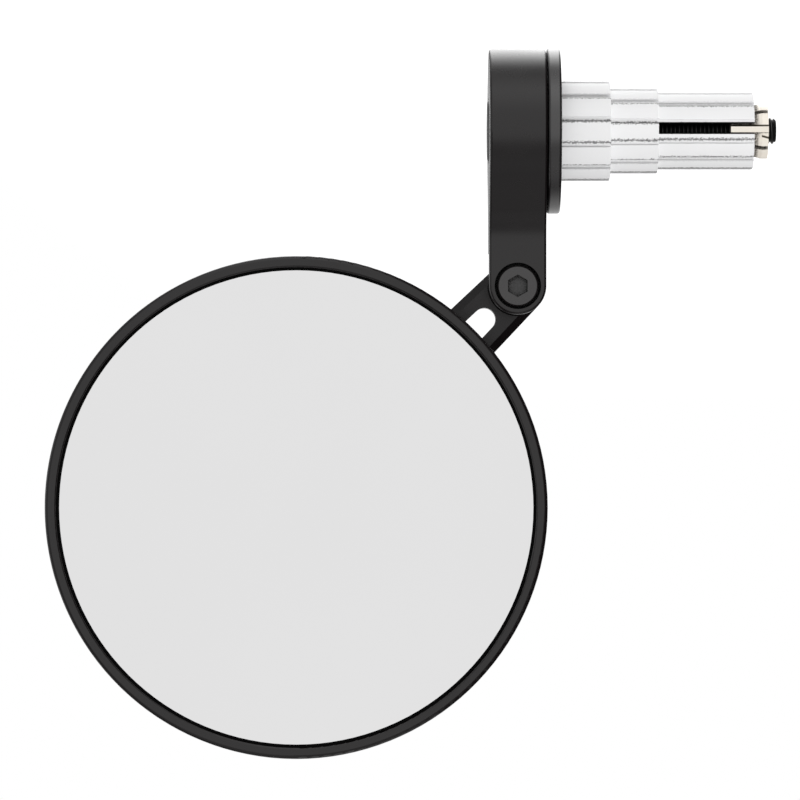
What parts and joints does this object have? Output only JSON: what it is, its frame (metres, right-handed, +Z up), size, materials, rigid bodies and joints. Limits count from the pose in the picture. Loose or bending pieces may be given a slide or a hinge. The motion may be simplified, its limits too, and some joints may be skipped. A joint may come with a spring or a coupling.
{
  "type": "bar end mirror",
  "caption": "Round convex mirror on a slotted swinging stem and a bar arm, clamped in a handlebar's end by a stepped expander sleeve with a cone and bolt.",
  "frame": {"origin": "handlebar axis at the spacer disc's face, which meets the bar's end", "axes": "+X along the bar axis into the bar, +Z up, the glass looks along -Y"},
  "size_m": [0.1385, 0.0323, 0.1347],
  "materials": {
    "black_anodised": "satin black anodised",
    "bright_aluminium": "turned and blasted, clear anodised",
    "plated_brass": "warm nickel plating",
    "black_steel": "black oxide",
    "zinc_steel": "zinc plated",
    "nylon": "moulded nylon",
    "silvered_glass": "convex silvered glass",
    "black_rubber": "soft black rubber",
    "bonding_foam": "closed-cell bonding pad"
  },
  "bodies": {
    "bar_mount": {"expander_sleeve": "bright_aluminium", "spacer_disc": "black_anodised", "arm_friction_washer": "nylon"},
    "clamp_bolt_body": {"clamp_bolt": "black_steel", "clamp_bolt_washer": "zinc_steel"},
    "cone_body": {"expander_cone": "plated_brass"},
    "arm": {"bar_arm": "black_anodised", "pivot_head_washer": "zinc_steel", "pivot_friction_washer": "nylon"},
    "stem": {"mirror_stem": "black_anodised", "pivot_screw": "black_steel", "pivot_lock_nut": "zinc_steel", "ball_stud": "zinc_steel", "ball_stud_washer": "zinc_steel", "ball_stud_nut": "zinc_steel"},
    "liner": {"ball_liner": "nylon"},
    "mirror_head": {"mirror_housing": "black_anodised", "mirror_glass": "silvered_glass", "glass_gasket": "black_rubber", "glass_pad": "bonding_foam", "socket_retainer": "black_anodised", "retainer_screws": "black_steel"}
  },
  "joints": [
    {"name": "arm_swivel", "type": "hinge", "parent": "bar_mount", "child": "arm", "pos_m": [0, 0, 0], "axis": [1, 0, 0], "continuous": true},
    {"name": "bolt_turn", "type": "hinge", "parent": "bar_mount", "child": "clamp_bolt_body", "pos_m": [0, 0, 0], "axis": [1, 0, 0], "range_deg": [-1081, 181]},
    {"name": "cone_slide", "type": "slide", "parent": "bar_mount", "child": "cone_body", "axis": [1, 0, 0], "range_m": [-0.0004, 0.0024]},
    {"name": "stem_pivot", "type": "hinge", "parent": "arm", "child": "stem", "pos_m": [-0.00813, 0, -0.02975], "axis": [0, 1, 0], "range_deg": [-90, 45]},
    {"name": "mirror_tilt", "type": "hinge", "parent": "stem", "child": "liner", "pos_m": [-0.04999, -0.0055, -0.07161], "axis": [1, 0, 0], "range_deg": [-9, 9]},
    {"name": "mirror_pan", "type": "hinge", "parent": "liner", "child": "mirror_head", "pos_m": [-0.04999, -0.0055, -0.07161], "axis": [0, 0, 1], "range_deg": [-9, 9]}
  ],
  "couplings": [
    {"joint": "bolt_turn", "follows": "cone_slide", "rad_per_m": -7854}
  ]
}
